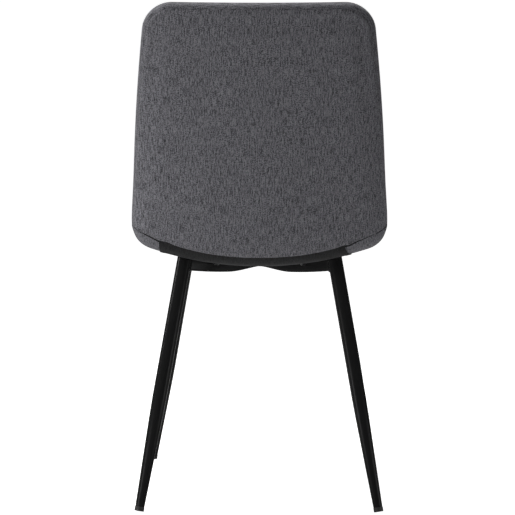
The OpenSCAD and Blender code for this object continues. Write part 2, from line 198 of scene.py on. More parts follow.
def rows_between(s_from, s_to, m, step):
    """Values of s: even in between, and following (1 - cos) round a corner at either end of the shell."""
    rows = []
    r_top, r_front = max(TOP_CORNER - m, LEAST_CORNER), max(FRONT_CORNER - m, LEAST_CORNER)
    turn = np.linspace(0, math.pi / 2, 15)
    lo, hi = s_from, s_to
    if s_from <= m:
        rows.append(m + r_top * (1 - np.cos(turn)))
        lo = m + r_top
    if s_to >= S_END - m:
        hi = S_END - m - r_front
    rows.append(np.linspace(lo, hi, int((hi - lo) / step) + 2))
    if s_to >= S_END - m:
        rows.append(S_END - m - r_front * (1 - np.cos(turn[::-1])))
    return np.unique(np.round(np.concatenate(rows), 6))


# %% [markdown]
# ## From grids of points to meshes
# A sheet is a grid of points. Cloth has a thickness, so a second grid lies one thickness below the first and
# a rim closes the edge. A Solidify modifier could do it too, but a computed rim keeps its pattern. The pattern
# coordinate of every corner is stored in metres, so that a weave has the same size on every piece.

# %% Mesh helpers
def grid_faces(rows, cols, round_rows, round_cols):
    """Quads of a grid as corner numbers, with the numbers of their pattern corners in a grid one larger."""
    down, across = np.arange(rows - (not round_rows)), np.arange(cols - (not round_cols))
    i, j = np.repeat(down, len(across)), np.tile(across, len(down))
    wide = cols + round_cols
    points = [((i + a) % rows) * cols + (j + b) % cols for a, b in ((0, 0), (0, 1), (1, 1), (1, 0))]
    pattern = [(i + a) * wide + (j + b) for a, b in ((0, 0), (0, 1), (1, 1), (1, 0))]
    return np.stack(points, -1), np.stack(pattern, -1)


def close_pattern(pattern, round_rows, round_cols):
    """Adds the row or column that closes a round grid, one step further along than the last."""
    if round_rows:
        pattern = np.concatenate([pattern, 2 * pattern[-1:] - pattern[-2:-1]], 0)
    if round_cols:
        pattern = np.concatenate([pattern, 2 * pattern[:, -1:] - pattern[:, -2:-1]], 1)
    return pattern


def grid_normals(points, round_rows):
    """Unit normals: the cross product of the differences along the two directions of the grid."""
    if round_rows:
        down = np.roll(points, -1, 0) - np.roll(points, 1, 0)
    else:
        down = np.gradient(points, axis=0)
    n = np.cross(down, np.gradient(points, axis=1))
    return n / np.maximum(np.linalg.norm(n, axis=-1, keepdims=True), 1e-12)


def surface(points, pattern, round_rows=False, round_cols=False):
    """One open or round grid as (points, faces, pattern of each face corner)."""
    rows, cols = points.shape[:2]
    faces, corners = grid_faces(rows, cols, round_rows, round_cols)
    wide = close_pattern(pattern, round_rows, round_cols).reshape(-1, 2)
    return points.reshape(-1, 3), faces, wide[corners]


def solid_between(upper, lower, pattern, round_rows=False):
    """Closed solid: one grid, a second of the same size below it, and rims that join their edges."""
    rows, cols = upper.shape[:2]
    v1, f1, p1 = surface(upper, pattern, round_rows)
    v2, f2, p2 = surface(lower, pattern, round_rows)
    number = np.arange(rows * cols).reshape(rows, cols)
    if round_rows:
        chains = [np.append(number[:, 0], number[0, 0])[::-1], np.append(number[:, -1], number[0, -1])]
    else:
        chains = [np.concatenate([number[0, :], number[1:, -1], number[-1, -2::-1], number[-2::-1, 0]])]
    flat = pattern.reshape(-1, 2)
    faces, corners = [f1, f2[:, ::-1] + rows * cols], [p1, p2[:, ::-1]]
    for chain in chains:
        a, b = chain[:-1], chain[1:]
        faces.append(np.stack([b, a, a + rows * cols, b + rows * cols], -1))
        corners.append(flat[np.stack([b, a, a, b], -1)])
    return np.concatenate([v1, v2]), np.concatenate(faces), np.concatenate(corners)


def cloth(points, pattern, thickness, round_rows=False):
    """A sheet with a thickness: the solid between the grid and the same grid one thickness below."""
    below = points + grid_normals(points, round_rows) * thickness
    return solid_between(points, below, pattern, round_rows)


def signed_volume(points, faces):
    """Sum of a . (b x c) / 6 over the triangles of every quad: positive where faces point outwards."""
    a, b, c, d = (points[faces[:, k]] for k in range(4))
    return float((a * (np.cross(b, c) + np.cross(c, d))).sum() / 6)


def make_piece(name, parts, sharp=50):
    """Joins (points, faces, pattern) parts into one mesh that rides on the body, faces turned outwards."""
    points, faces, pattern, base = [], [], [], 0
    for p, f, u in parts:
        if signed_volume(p, f) < 0:
            f, u = f[:, ::-1], u[:, ::-1]
        points.append(p)
        faces.append(f + base)
        pattern.append(u)
        base += len(p)
    points, faces = np.concatenate(points), np.concatenate(faces)
    mesh = bpy.data.meshes.new(name)
    mesh.from_pydata(points.tolist(), [], faces.tolist())
    layer = mesh.uv_layers.new(name="pattern")
    layer.data.foreach_set("uv", np.concatenate(pattern).reshape(-1).astype(np.float32))
    mesh.polygons.foreach_set("use_smooth", np.ones(len(mesh.polygons), bool))
    if sharp:
        mesh.set_sharp_from_angle(angle=math.radians(sharp))
    mesh.update()
    piece = bpy.data.objects.new(name, mesh)
    bpy.context.scene.collection.objects.link(piece)
    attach(piece, "root")
    print(name, len(mesh.vertices), "points", len(mesh.polygons), "faces")
    return piece


# %% [markdown]
# ## Shader groups
# Two effects are used by more than one finish, so each is a node group: a woven cloth, and a fine grain for
# paint, plastic, metal, foam and wadding. Each could be drawn again in every material, but a group keeps them
# alike. A group gives only colours, roughness and heights; the shader itself stays in each material.

# %% Node helpers
def new_group(name, inputs, outputs):
    """A shader group with named sockets. inputs and outputs are (name, kind, default)."""
    tree = bpy.data.node_groups.new(name, "ShaderNodeTree")
    for side, sockets in (("INPUT", inputs), ("OUTPUT", outputs)):
        for label, kind, default in sockets:
            socket = tree.interface.new_socket(name=label, in_out=side, socket_type=f"NodeSocket{kind}")
            if default is not None:
                socket.default_value = default
    return tree, tree.nodes.new("NodeGroupInput"), tree.nodes.new("NodeGroupOutput")


def add(tree, kind, settings=None, **inputs):
    """Adds a node. settings are its properties; inputs are links or values, with _ in place of a space."""
    node = tree.nodes.new(kind)
    for key, value in (settings or {}).items():
        setattr(node, key, value)
    for key, value in inputs.items():
        numbered = key[0] == "i" and key[1:].isdigit()
        socket = node.inputs[int(key[1:]) if numbered else key.replace("_", " ")]
        if isinstance(value, bpy.types.NodeSocket):
            tree.links.new(value, socket)
        else:
            socket.default_value = value
    return node


def math_node(tree, operation, a, b=0.0):
    """One number from two."""
    return add(tree, "ShaderNodeMath", {"operation": operation}, i0=a, i1=b).outputs[0]


def blend(tree, share, dark, light):
    """A colour between two: dark (1 - share) + light share. The two are links or colours."""
    node = add(tree, "ShaderNodeMix", {"data_type": "RGBA"}, i0=share, i6=dark, i7=light)
    return node.outputs[2]


def stretch(tree, vector, scale):
    """A vector with each part multiplied by scale."""
    return add(tree, "ShaderNodeVectorMath", {"operation": "MULTIPLY"}, i0=vector, i1=scale).outputs[0]


def noise(tree, vector, scale, detail, roughness=0.5):
    """Soft noise of the given scale, from 0 to 1."""
    return add(tree, "ShaderNodeTexNoise", None, Vector=vector, Scale=scale, Detail=detail,
               Roughness=roughness).outputs[0]


def swing(tree, value, share):
    """A value from 0 to 1 made to swing about 0: (value - 1/2) share."""
    return math_node(tree, "MULTIPLY", math_node(tree, "SUBTRACT", value, 0.5), share)


# %% Woven cloth group
STRANDS = {"warp stitches": ((0.66, 0.50, 1), 0.46), "weft stitches": ((0.20, 0.62, 1), 0.16),
           "short slubs": ((0.60, 0.16, 1), 0.26), "long slubs": ((0.58, 0.05, 1), 0.34)}
CLOUD_SCALE = 22.0


def woven_group():
    """Threads run both ways. Level = 1/2 + contrast * the sum of share * (noise - 1/2) over the strands, with
    a broad cloudiness added; bumps follow sin(x) sin(y) of the thread count. It mixes dark and light."""
    tree, enter, leave = new_group(
        "woven_cloth",
        [("Pattern", "Vector", None), ("Threads per metre", "Float", 1150.0),
         ("Dark", "Color", (0, 0, 0, 1)), ("Light", "Color", (1, 1, 1, 1)),
         ("Contrast", "Float", 1.0), ("Cloud", "Float", 0.1)],
        [("Color", "Color", None), ("Height", "Float", None), ("Roughness", "Float", None)])
    given = enter.outputs
    count = add(tree, "ShaderNodeVectorMath", {"operation": "SCALE"}, i0=given["Pattern"],
                Scale=given["Threads per metre"]).outputs[0]
    spread = 0.0
    for scale, share in STRANDS.values():
        strand = swing(tree, noise(tree, stretch(tree, count, scale), 1.0, 1.0), share)
        spread = math_node(tree, "ADD", strand, spread)
    spread = math_node(tree, "MULTIPLY", spread, given["Contrast"])
    drift = swing(tree, noise(tree, given["Pattern"], CLOUD_SCALE, 3.0), given["Cloud"])
    level = math_node(tree, "ADD", math_node(tree, "ADD", spread, drift), 0.5)
    level = add(tree, "ShaderNodeClamp", None, Value=level).outputs[0]
    parts = add(tree, "ShaderNodeSeparateXYZ", None, i0=count).outputs
    waves = [math_node(tree, "SINE", math_node(tree, "MULTIPLY", parts[k], math.pi)) for k in (0, 1)]
    bumps = math_node(tree, "MULTIPLY", *waves)
    height = math_node(tree, "ADD", math_node(tree, "MULTIPLY", bumps, 0.3), level)
    rough = math_node(tree, "ADD", math_node(tree, "MULTIPLY", level, -0.1), 0.95)
    tree.links.new(blend(tree, level, given["Dark"], given["Light"]), leave.inputs["Color"])
    tree.links.new(height, leave.inputs["Height"])
    tree.links.new(rough, leave.inputs["Roughness"])
    return tree


WOVEN = woven_group()


# %% Fine grain group
def grain_group():
    """Two sizes of noise on object coordinates: a fine grain for the height, and a broad drift that mixes two
    colours and moves the roughness by drift * (noise - 1/2)."""
    tree, enter, leave = new_group(
        "fine_grain",
        [("Grain scale", "Float", 900.0), ("Drift scale", "Float", 14.0),
         ("Colour", "Color", (0, 0, 0, 1)), ("Second colour", "Color", (0, 0, 0, 1)),
         ("Roughness", "Float", 0.4), ("Roughness drift", "Float", 0.1)],
        [("Color", "Color", None), ("Height", "Float", None), ("Roughness", "Float", None)])
    given = enter.outputs
    where = add(tree, "ShaderNodeTexCoord").outputs["Object"]
    drift = noise(tree, where, given["Drift scale"], 3.0)
    grain = noise(tree, where, given["Grain scale"], 2.0)
    wander = swing(tree, drift, given["Roughness drift"])
    tree.links.new(blend(tree, drift, given["Colour"], given["Second colour"]), leave.inputs["Color"])
    tree.links.new(grain, leave.inputs["Height"])
    tree.links.new(math_node(tree, "ADD", wander, given["Roughness"]), leave.inputs["Roughness"])
    return tree


GRAIN = grain_group()


# %% Material builder
def bare_material(name):
    """A new material with its tree and its Principled shader."""
    made = bpy.data.materials.new(name)
    made.use_nodes = True
    tree = made.node_tree
    return made, tree, next(n for n in tree.nodes if n.type == "BSDF_PRINCIPLED")


def relief(tree, principled, height, strength, depth):
    """A height in metres as a bump of the shader's normal."""
    bump = add(tree, "ShaderNodeBump", None, Height=height, Strength=strength, Distance=depth)
    tree.links.new(bump.outputs[0], principled.inputs["Normal"])


def material(name, group, values, shader, bump, bump_depth):
    """A Principled shader fed by one group. values go on the group, shader on the shader's own sockets. A
    group that asks for a pattern gets the piece's own coordinates."""
    made, tree, principled = bare_material(name)
    effect = add(tree, "ShaderNodeGroup", {"node_tree": group})
    for key, value in values.items():
        effect.inputs[key].default_value = value
    if "Pattern" in effect.inputs:
        uv = add(tree, "ShaderNodeUVMap", {"uv_map": "pattern"})
        tree.links.new(uv.outputs[0], effect.inputs["Pattern"])
    tree.links.new(effect.outputs["Color"], principled.inputs["Base Color"])
    tree.links.new(effect.outputs["Roughness"], principled.inputs["Roughness"])
    relief(tree, principled, effect.outputs["Height"], bump, bump_depth)
    for key, value in shader.items():
        principled.inputs[key].default_value = value
    return made


def dress(piece, made):
    """Gives a piece or a node one material."""
    piece.data.materials.clear()
    piece.data.materials.append(made)
    return piece


# %% [markdown]
# ## Finishes
# The cover is a grey melange linen weave: dark and light fibres spun together, so it looks streaky along the
# warp and has a faint sheen. The lining is a matt black non-woven. The steel is black powder coat, satin with
# a very fine orange peel. Fibres could be grown as hair or drawn as an image. Noise stretched along the
# threads needs neither, and it stays sharp from close by.

# %% Cloth finishes
linen = material(
    "grey_linen_weave", WOVEN,
    {"Threads per metre": 1150.0, "Dark": (0.028, 0.0278, 0.031, 1), "Light": (0.195, 0.192, 0.212, 1),
     "Contrast": 5.6, "Cloud": 0.2},
    {"Sheen Weight": 0.15, "Sheen Roughness": 0.5, "Specular IOR Level": 0.2}, bump=0.5, bump_depth=0.4 * MM)
lining = material(
    "black_nonwoven", WOVEN,
    {"Threads per metre": 1000.0, "Dark": (0.003, 0.003, 0.0031, 1), "Light": (0.025, 0.025, 0.026, 1),
     "Contrast": 3.0, "Cloud": 0.3},
    {"Sheen Weight": 0.04, "Specular IOR Level": 0.15}, bump=0.4, bump_depth=0.3 * MM)


# %% Hard finishes
def grainy(name, colours, roughness, drift, grain, broad, shader, bump, bump_depth):
    """A finish from the fine grain group: two colours, a roughness and its drift, the two noise scales."""
    values = {"Grain scale": grain, "Drift scale": broad,
              "Colour": (*colours[0], 1), "Second colour": (*colours[1], 1),
              "Roughness": roughness, "Roughness drift": drift}
    return material(name, GRAIN, values, shader, bump, bump_depth)


powder = grainy("black_powder_coat", ((0.010, 0.010, 0.0102), (0.014, 0.014, 0.0143)), 0.22, 0.05,
                1400.0, 9.0, {"Specular IOR Level": 0.05}, 0.12, 0.1 * MM)
rubbery = grainy("black_foot_plastic", ((0.012, 0.012, 0.012), (0.02, 0.02, 0.02)), 0.6, 0.15,
                 2200.0, 60.0, {"Specular IOR Level": 0.45}, 0.3, 0.1 * MM)
bolt_steel = grainy("black_bolt_steel", ((0.012, 0.012, 0.013), (0.02, 0.02, 0.021)), 0.32, 0.1,
                    1800.0, 14.0, {"Metallic": 0.6}, 0.1, 0.05 * MM)
zinc = grainy("zinc_hardware", ((0.55, 0.56, 0.57), (0.72, 0.72, 0.71)), 0.34, 0.2,
              700.0, 120.0, {"Metallic": 1.0}, 0.1, 0.05 * MM)
foam = grainy("cushion_foam", ((0.70, 0.62, 0.38), (0.78, 0.70, 0.46)), 0.95, 0.1,
              1500.0, 20.0, {}, 0.6, 0.4 * MM)
wadding = grainy("white_wadding", ((0.80, 0.80, 0.78), (0.88, 0.88, 0.87)), 0.97, 0.1,
                 500.0, 30.0, {}, 0.7, 0.8 * MM)
card = grainy("tack_strip_board", ((0.32, 0.22, 0.12), (0.40, 0.29, 0.17)), 0.9, 0.1,
              900.0, 14.0, {}, 0.3, 0.2 * MM)


# %% Plywood
def plywood_material():
    """Wood grain: noise stretched along the board, turned into bands that mix two browns."""
    made, tree, principled = bare_material("bent_plywood")
    where = add(tree, "ShaderNodeTexCoord").outputs["Object"]
    grain = noise(tree, stretch(tree, where, (90, 6, 6)), 1.0, 4.0, 0.6)
    bands = math_node(tree, "FRACT", math_node(tree, "MULTIPLY", grain, 6.0))
    brown = blend(tree, bands, (0.42, 0.27, 0.13, 1), (0.56, 0.39, 0.21, 1))
    tree.links.new(brown, principled.inputs["Base Color"])
    relief(tree, principled, bands, 0.2, 0.2 * MM)
    principled.inputs["Roughness"].default_value = 0.6
    return made


plywood = plywood_material()
print("materials", len(bpy.data.materials))

# %% [markdown]
# ## The edge of the shell
# Seen from behind, the cloth rolls round the edge of the shell. The roll is a quarter of an ellipse, broad
# and deep at the bend and tight at the top. On the sitter's side a smaller ellipse leads to the seam of the
# front cover. A Bevel modifier would round the edge by one radius, but an ellipse whose size is a function of
# s can grow along the edge, as the padding does.

# %% Heights of the cover near the edge
SEAM_BACK = 8.5 * MM
SEAM_FRONT = 12 * MM
FRONT_ROLL_W, FRONT_ROLL_T = 17 * MM, 13 * MM


def pad_height(s):
    """Height of the padding's inner face above the board's outer face."""
    knots = [0, S_BEND * 0.6, S_BEND, S_SEAT, S_ROLL, S_END]
    return eased(s, knots, np.array([30, 37, 43, 47, 47, 41]) * MM)


def back_roll(m, s):
    """Height lost towards the edge: T (1 - sqrt(1 - (1 - m / W)^2)) inside the width W, 0 further in."""
    knots = [0, 0.1, S_BEND, S_END - 0.06, S_END]
    wide = eased(s, knots, np.array([17, 24, 38, 38, 24]) * MM)
    tall = eased(s, knots, np.array([12, 15, 27, 27, 20]) * MM)
    t = np.clip(1 - m / wide, 0, 1)
    return tall * (1 - np.sqrt(np.maximum(1 - t * t, 0))), wide, tall


def band_height(m, s):
    """Outer face of the cloth that wraps the edge."""
    return back_roll(m, s)[0] - CLOTH_T


# %% The lower hem of the outer back
S_HEM = S_BEND + 43 * MM
HEM_RISE, HEM_HALF = 31.2 * MM, 195 * MM
CREVICE_DEPTH, CREVICE_AT, CREVICE_WIDTH = 3.8 * MM, 4.4 * MM, 2.4 * MM


def hem_at(x):
    """Hem line: it rises to the sides by 31.2 mm (x / 195 mm)^3, with small pulls where it crosses the
    lining's corners."""
    pulls = (-2.2 * bell(x, 0.156, 0.009) + 1.8 * bell(x, 0.175, 0.008)
             - 1.4 * bell(x, -0.143, 0.006) + 2.4 * bell(x, -0.155, 0.006)) * MM
    return S_HEM - HEM_RISE * (np.abs(x) / HEM_HALF) ** 3 + pulls


def smooth(t):
    """0 below 0, 1 above 1, and 3 t^2 - 2 t^3 between."""
    t = np.clip(t, 0, 1)
    return t * t * (3 - 2 * t)


def crevice(x, s, m):
    """Groove in the soft edge just past the hem: depth * e^-((past - middle) / width)^2. It fades over 6 mm
    at the side and 32 mm further in, where the board lies under the cloth."""
    ends = smooth((32 * MM - m) / (6 * MM)) * smooth(m / (6 * MM))
    return CREVICE_DEPTH * bell(s - hem_at(x), CREVICE_AT, CREVICE_WIDTH) * ends


# %% [markdown]
# ## The outer back panel
# On the real chair this panel is sewn to the edge band at its sides and top. Its lower edge is folded over a
# strip of board, which gives the crisp smile-shaped hem and the dark shadow under it. It could be one flat
# plane with a subdivision surface, but a computed grid lets the wadding swell and the fold be a true curl.

# %% Layers of the outer back
WAD_T = 4.0 * MM


def spread_u(n, crowd=0.55):
    """Values from -1 to 1 that crowd towards both ends: a mix of t and sin(pi t / 2)."""
    t = np.linspace(-1, 1, n)
    return t * (1 - crowd) + np.sin(t * math.pi / 2) * crowd


def panel_grid(m, s_to):
    """Columns spread over the width; rows slide up with the hem, in proportion to their way down to it."""
    rise_from = 0.25
    rows = rows_between(m, s_to, m, 4 * MM)
    x = spread_u(150)[None, :] * half_at(rows, m)[:, None]
    share = np.clip((rows[:, None] - rise_from) / (S_HEM - rise_from), 0, 1)
    return x, rows[:, None] + (hem_at(x) - S_HEM) * share


def wad_height(x, s):
    """Wadding thickness: half a millimetre at the seam, and full a hand's breadth further in."""
    m = inset(x, s)
    near_hem = smooth((s - hem_at(x) + 30 * MM) / (26 * MM)) * smooth((m - SEAM_BACK) / (14 * MM))
    full = (WAD_T - 0.5 * MM) * smooth((m - SEAM_BACK) / (48 * MM)) + 0.5 * MM
    return np.maximum(full, 0.5 * MM + 1.6 * MM * near_hem)


def under_panel(x, s):
    """Inner face of the panel: the band's outer face less the wadding. It sinks into the seam at the edge
    and is a little hollow beside it, where the wadding is pulled flat."""
    m = inset(x, s)
    sink = 2.0 * MM * np.clip(1 - (m - SEAM_BACK) / (4.0 * MM), 0, 1) ** 2
    hollow = 1.5 * MM * bell(m, 25 * MM, 11 * MM) * smooth((S_HEM - 0.03 - s) / 0.05)
    return band_height(m, s) - wad_height(x, s) + np.minimum(sink + hollow, wad_height(x, s) + 2.0 * MM)


# %% Outer back panel
FOLD_R = 3.0 * MM


def outer_panel():
    """The face, then a half circle of radius FOLD_R round the hem, then a short way back up inside."""
    x, s = panel_grid(SEAM_BACK, S_HEM - FOLD_R)
    off = under_panel(x, s) - CLOTH_T
    face = place(x, s, off)
    last_x, last_s, last_off = x[-1], s[-1], off[-1]
    turn = np.linspace(0, math.pi, 13)[1:]
    room = (band_height(inset(last_x, last_s), last_s) - last_off) / 2
    depth = np.clip(room, 0.6 * MM, FOLD_R)
    curl = [place(last_x, last_s + FOLD_R * math.sin(a), last_off + depth * (1 - math.cos(a)))
            for a in turn]
    inside = np.array([1.2, 2.6, 4.0]) * MM
    back_up = [place(last_x, last_s - d, last_off + 2 * depth) for d in inside]
    points = np.concatenate([face, np.stack(curl), np.stack(back_up)])
    past = np.concatenate([FOLD_R * turn, math.pi * FOLD_R + inside])
    pattern = np.stack([np.vstack([x, np.repeat(x[-1:], len(past), 0)]),
                        np.vstack([s, last_s + past[:, None]])], -1)
    return make_piece("outer_back_panel", [cloth(points, pattern, SHEET_T)])


def wadding_sheet():
    """Lies between the band's outer face and the panel's inner face, and stops above the hem strip."""
    x, s = panel_grid(14 * MM, S_HEM - 17 * MM)
    gap = 0.1 * MM
    top = place(x, s, under_panel(x, s) + gap)
    low = place(x, s, band_height(inset(x, s), s) - gap)
    return make_piece("back_wadding_sheet", [solid_between(top, low, np.stack([x, s], -1))])


wad_piece = dress(wadding_sheet(), wadding)
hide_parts("outer_back_wadding")
back_panel = dress(outer_panel(), linen)
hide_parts("outer_back_cover")

# %% [markdown]
# ## The edge band
# One long strip of cloth runs right round the shell: it starts under the back panel, rolls over the edge,
# climbs the side and ends at the seam of the front cover. Under the seat it is turned under and stapled. It
# is a section carried along the outline; the outline's own normal says which way is in. It could be cut off
# the cushions' surface, but a carried section runs its weave straight along the strip, as cut cloth does.

# %% Edge band
def outline_loop():
    """Points (x, s) round the shell and their inward normals, from the differences of neighbours."""
    side_s = np.concatenate([
        TOP_CORNER * (1 - np.cos(np.linspace(0, math.pi / 2, 18)))[:-1],
        np.linspace(TOP_CORNER, 0.365, 60),
        np.linspace(0.366, 0.462, 110),
        np.linspace(0.466, S_END - FRONT_CORNER, 60),
        S_END - FRONT_CORNER * (1 - np.cos(np.linspace(math.pi / 2, 0, 22)))[1:]])
    side = np.stack([half_at(side_s, 0.0), side_s], -1)
    across = np.linspace(1, -1, 42)[1:-1]
    front = np.stack([across * side[-1, 0], np.full_like(across, S_END)], -1)
    top = np.stack([-across * side[0, 0], np.zeros_like(across)], -1)
    loop = np.concatenate([side, front, side[::-1] * [-1, 1], top])
    along = np.roll(loop, -1, 0) - np.roll(loop, 1, 0)
    inward = np.stack([-along[:, 1], along[:, 0]], -1)
    inward /= np.linalg.norm(inward, axis=1, keepdims=True)
    middle = np.array([0, S_END / 2])
    if ((middle - loop) * inward).sum() < 0:
        inward = -inward
    return loop, inward


def edge_band():
    """Section: in under the panel, the elliptic roll, the side wall with a slight swell, the small roll to
    the front seam."""
    loop, inward = outline_loop()
    x0, s0 = loop[:, 0], loop[:, 1]
    _, wide, tall = back_roll(0.0, s0)
    top = pad_height(s0)
    below = smooth((s0 - (hem_at(x0) - 30 * MM)) / (30 * MM))
    at_front = smooth((s0 - (S_END - 90 * MM)) / (50 * MM))
    deep = wide + (2 + 46 * below * (1 - at_front) + 20 * at_front) * MM
    angles = np.radians(np.linspace(0, 90, 19))
    columns = []
    for t in np.linspace(1, 0, 15)[:-1]:
        m = wide + (deep - wide) * t
        columns.append((m, np.full_like(m, -CLOTH_T)))
    for a in angles:
        columns.append((wide * (1 - math.sin(a)), tall * (1 - math.cos(a)) - CLOTH_T))
    for t in np.linspace(0, 1, 8)[1:-1]:
        low, high = tall - CLOTH_T, top - FRONT_ROLL_T
        columns.append((np.full_like(s0, -1.2 * MM * math.sin(math.pi * t)), low + (high - low) * t))
    for a in angles:
        m = FRONT_ROLL_W * (1 - math.cos(a))
        if m <= SEAM_FRONT:
            columns.append((np.full_like(s0, m), top - FRONT_ROLL_T * (1 - math.sin(a))))
    columns.append((np.full_like(s0, SEAM_FRONT + 0.4 * MM), columns[-1][1] - 2.2 * MM))
    columns.append((np.full_like(s0, SEAM_FRONT + 1.0 * MM), columns[-1][1] - 4 * MM))
    points = []
    for m, off in columns:
        groove = 1.3 * MM * np.clip(1 - np.abs(m - SEAM_BACK) / (3 * MM), 0, 1) ** 2 * (1 - below)
        p = loop + inward * m[:, None]
        sunk = (groove + crevice(p[:, 0], p[:, 1], m)) * (off < tall)
        points.append(place(p[:, 0], p[:, 1], off + sunk))
    points = np.stack(points, 1)
    step = np.linalg.norm(np.diff(points, axis=1), axis=-1)
    run = np.concatenate([np.zeros((len(loop), 1)), np.cumsum(step, 1)], 1)
    around = np.concatenate([[0], np.cumsum(np.linalg.norm(np.diff(loop, axis=0), axis=1))])
    pattern = np.stack([run, np.repeat(around[:, None], run.shape[1], 1)], -1)
    return make_piece("edge_band_cloth", [cloth(points, pattern, SHEET_T, round_rows=True)])


band = dress(edge_band(), linen)
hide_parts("edge_band")


# %% Edge foam
FOAM_TOP = 10.5 * MM


def edge_foam_ring():
    """Soft strip round the board's edge. Its lower face follows the band 1.5 mm further in; its upper face
    is level under the cushions and climbs beside them."""
    loop, inward = outline_loop()
    wall_top = pad_height(loop[:, 1]) - 15 * MM
    low, high = [], []
    for m in np.linspace(29, 3, 12) * MM:
        p = loop + inward * m
        under = band_height(m, loop[:, 1]) + 1.5 * MM + crevice(p[:, 0], p[:, 1], m)
        over = FOAM_TOP - 0.3 * MM + (wall_top - FOAM_TOP) * smooth((11 * MM - m) / (5 * MM))
        low.append(place(p[:, 0], p[:, 1], under))
        high.append(place(p[:, 0], p[:, 1], over))
    points = np.stack(low + high[::-1], 1)
    pattern = np.stack([points[..., 0], points[..., 2]], -1)
    return make_piece("edge_foam_ring", [surface(points, pattern, round_rows=True, round_cols=True)])


foam_ring = dress(edge_foam_ring(), foam)
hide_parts("edge_foam")

# %% [markdown]
# ## Seat and back cushions
# Each cushion is a closed form on the board: a crowned top that swells between its seams and dips into the
# crease where seat and back meet. It could be sculpted by hand, but real cushions get their shape from foam
# pushing against sewn edges, so a cloth simulation with inner pressure does the swelling. The form is a
# regular grid, so the weave keeps its coordinates through the simulation.

# %% Swelling by cloth simulation
PRESSURE = 4.0
LAST_FRAME = 20


def swell_up(piece, held, cap):
    """Cloth with inner pressure and no gravity runs to the last frame. held marks points that stay.
    Afterwards no point keeps more than cap of its move: new = old + d * min(1, cap / |d|)."""
    mesh = piece.data
    before = np.empty(len(mesh.vertices) * 3)
    mesh.vertices.foreach_get("co", before)
    before = before.reshape(-1, 3)
    group = piece.vertex_groups.new(name="held")
    group.add(np.flatnonzero(held).tolist(), 1.0, "REPLACE")
    cloth_modifier = piece.modifiers.new("cloth", "CLOTH")
    settings = cloth_modifier.settings
    settings.quality = 5
    settings.mass = 0.3
    settings.tension_stiffness = settings.compression_stiffness = 18
    settings.shear_stiffness = 8
    settings.bending_stiffness = 1.5
    settings.vertex_group_mass = "held"
    settings.use_pressure = True
    settings.uniform_pressure_force = PRESSURE
    settings.effector_weights.gravity = 0
    cloth_modifier.collision_settings.use_collision = False
    scene = bpy.context.scene
    for number in range(1, LAST_FRAME + 1):
        scene.frame_set(number)
    shaped = piece.evaluated_get(bpy.context.evaluated_depsgraph_get())
    after = np.empty_like(before).ravel()
    shaped.data.vertices.foreach_get("co", after)
    move = after.reshape(-1, 3) - before
    length = np.linalg.norm(move, axis=1, keepdims=True)
    move *= np.minimum(1, cap / np.maximum(length, 1e-9))
    piece.modifiers.remove(cloth_modifier)
    piece.vertex_groups.remove(group)
    mesh.vertices.foreach_set("co", (before + move).ravel())
    mesh.update()
    scene.frame_set(1)
    print(piece.name, "swelled by at most", round(float(length.max()) / MM, 1), "mm before the cap")


def subdivided(piece):
    """One level of Catmull-Clark, live, with the same level for the view and the render."""
    finer = piece.modifiers.new("finer", "SUBSURF")
    finer.levels = finer.render_levels = 1
    finer.uv_smooth = "PRESERVE_BOUNDARIES"


# %% Cushions
def cushion(name, s_from, s_to, crown, cap, nodes):
    """Top height = padding + crown (1 - e^(-d / 22 mm)) - the dips at seam and crease, where d is the
    distance to the nearest of them. The underside lies on the board, and a side wall joins the two."""
    rows = rows_between(s_from, s_to, SEAM_FRONT, 7 * MM)
    rows = rows[(rows >= s_from - 1e-6) & (rows <= s_to + 1e-6)]
    x = spread_u(66, 0.4)[None, :] * half_at(rows, SEAM_FRONT)[:, None]
    s = np.repeat(rows[:, None], x.shape[1], 1)
    from_seam = inset(x, s) - SEAM_FRONT
    from_crease = np.abs(s - S_CREASE)
    shape = crown * (1 - np.exp(-np.minimum(from_seam, from_crease) / (22 * MM)))
    dip = 3.0 * MM * np.clip(1 - from_seam / (5 * MM), 0, 1) ** 2
    dip = dip + 12 * MM * np.clip(1 - from_crease / (16 * MM), 0, 1) ** 2
    shoulder = np.clip(1 - (from_seam + SEAM_FRONT) / FRONT_ROLL_W, 0, 1)
    edge_drop = FRONT_ROLL_T * (1 - np.sqrt(1 - shoulder ** 2))
    top = place(x, s, pad_height(s) - edge_drop + shape - dip)
    bottom = place(x, s, FOAM_TOP)
    piece = make_piece(name, [solid_between(top, bottom, np.stack([x, s], -1))], sharp=60)
    held = np.ones(x.shape, bool)
    held[2:-2, 2:-2] = False
    held |= from_crease < 8 * MM
    swell_up(piece, np.concatenate([held.ravel(), np.ones(held.size, bool)]), cap)
    subdivided(piece)
    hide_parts(*nodes)
    dress(piece, linen)


cushion("seat_cushion", S_CREASE, S_END, 3 * MM, 6 * MM, ["seat_foam", "seat_cover"])
cushion("back_cushion", 0.0, S_CREASE, 2 * MM, 5 * MM, ["back_foam", "inner_back_cover"])

# %% [markdown]
# ## The dust cover
# A black non-woven sheet closes the underside. Its rear edge is caught under the hem, and its sides are
# folded and stapled. Between the staples it ripples a little. A cloth simulation would let it sag like a
# curtain, while a stapled sheet is tight, so its ripples are a sum of low waves.

